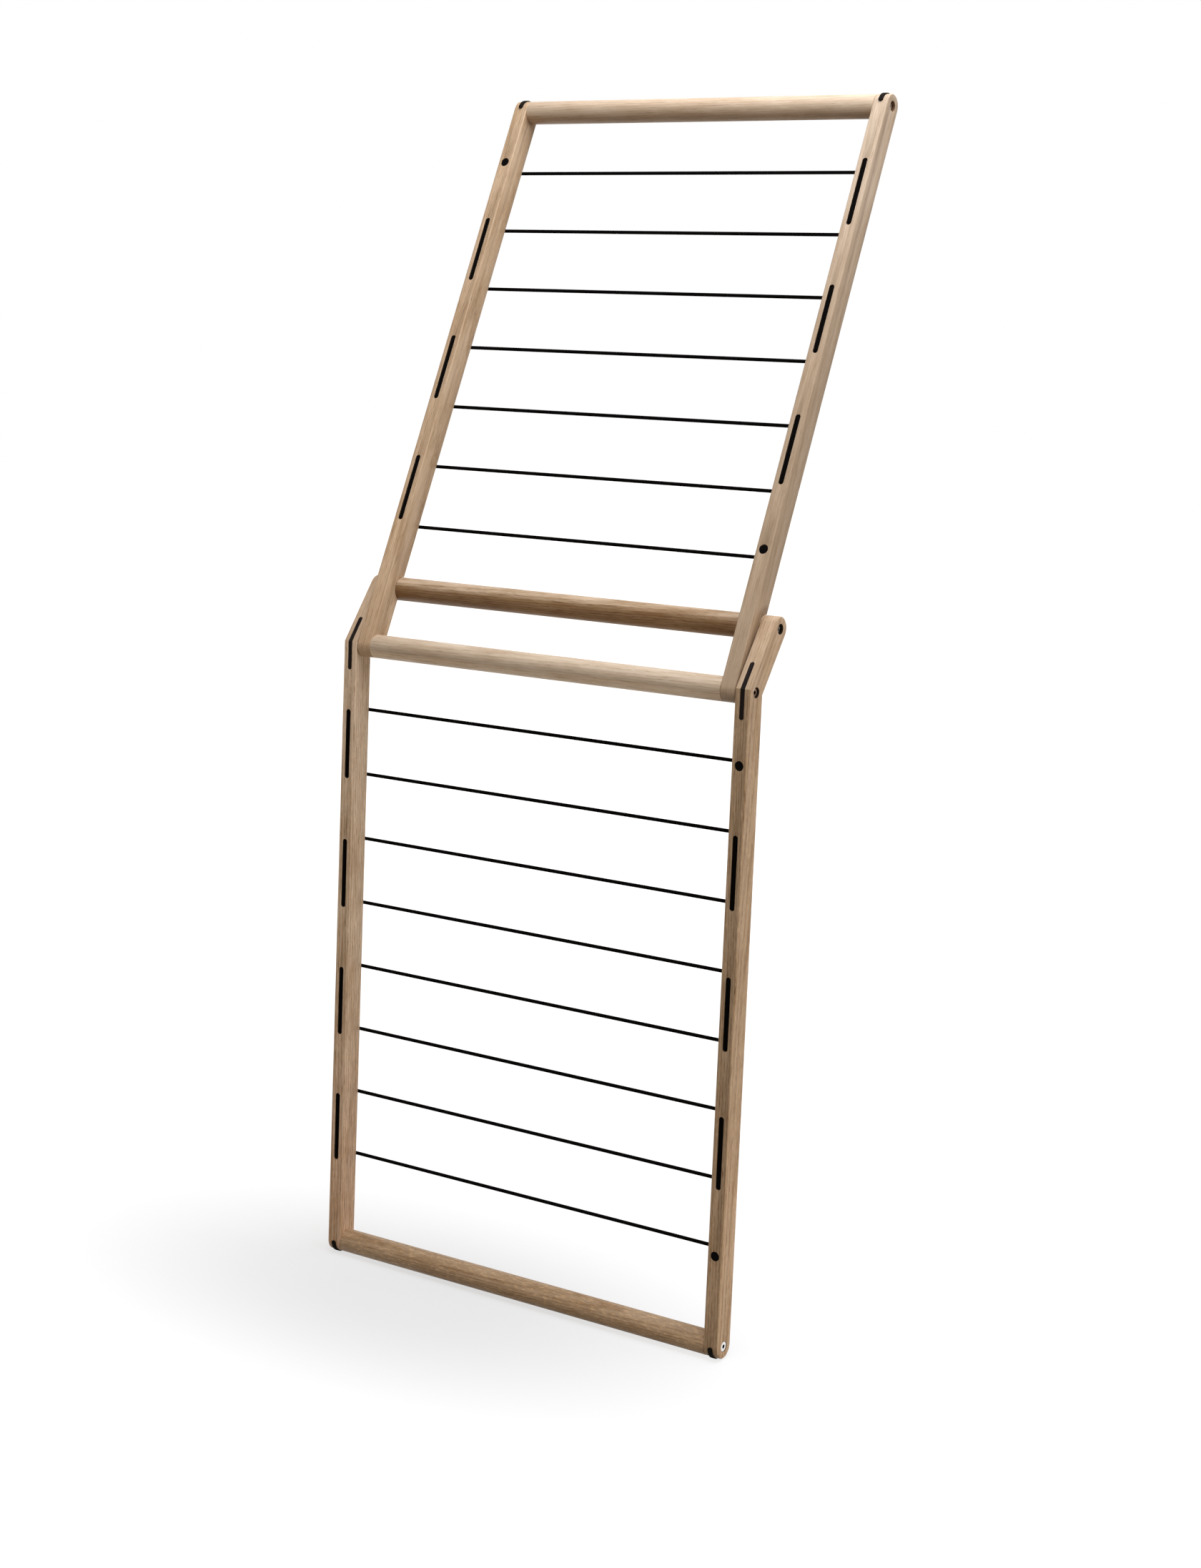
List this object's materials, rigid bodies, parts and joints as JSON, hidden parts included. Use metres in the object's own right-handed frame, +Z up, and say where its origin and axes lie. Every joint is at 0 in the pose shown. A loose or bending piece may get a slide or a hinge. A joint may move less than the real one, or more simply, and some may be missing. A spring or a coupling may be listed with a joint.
{
  "type": "leaning folding drying rack",
  "caption": "Slim oak drying rack that leans on a wall: the upper frame folds forward between the legs, and black elastic cord is laced across both frames as hanging lines.",
  "frame": {"origin": "on the floor, midway between the feet, under the axis of the bottom rung", "axes": "+X along the rungs to the right as seen from in front, +Y from the front to the wall behind, +Z up"},
  "size_m": [0.6, 0.4492, 1.5002],
  "materials": {
    "oak": "pale oak, matt oiled, grain along each piece",
    "rubber": "black matt rubber",
    "cord": "black matt elastic cord",
    "black_plastic": "black satin plastic",
    "steel": "zinc plated steel",
    "brass": "plain brass",
    "aluminium": "crimped aluminium",
    "nylon": "dark nylon"
  },
  "bodies": {
    "lower_frame": {"left_leg": "oak", "right_leg": "oak", "left_ear": "oak", "right_ear": "oak", "left_mitre_key": "black_plastic", "right_mitre_key": "black_plastic", "bottom_rung": "oak", "stop_rung": "oak", "left_foot_strip": "rubber", "right_foot_strip": "rubber", "lower_cord": "cord", "lower_cord_ferrules": "aluminium", "lower_cord_plugs": "black_plastic", "bottom_rung_bolts": "steel", "bottom_rung_inserts": "brass", "stop_rung_bolts": "steel", "stop_rung_inserts": "brass", "pivot_bushes": "nylon"},
    "upper_frame": {"left_stile": "oak", "right_stile": "oak", "top_rung": "oak", "pivot_rung": "oak", "left_bumper_strip": "rubber", "right_bumper_strip": "rubber", "upper_cord": "cord", "upper_cord_ferrules": "aluminium", "upper_cord_plugs": "black_plastic", "top_rung_bolts": "steel", "top_rung_inserts": "brass", "pivot_bolts": "steel", "pivot_rung_inserts": "brass", "pivot_washers": "nylon"}
  },
  "joints": [
    {"name": "fold_hinge", "type": "hinge", "parent": "lower_frame", "child": "upper_frame", "pos_m": [0, 0.05968, 0.81026], "axis": [1, 0, 0], "range_deg": [0, 203.6]}
  ]
}
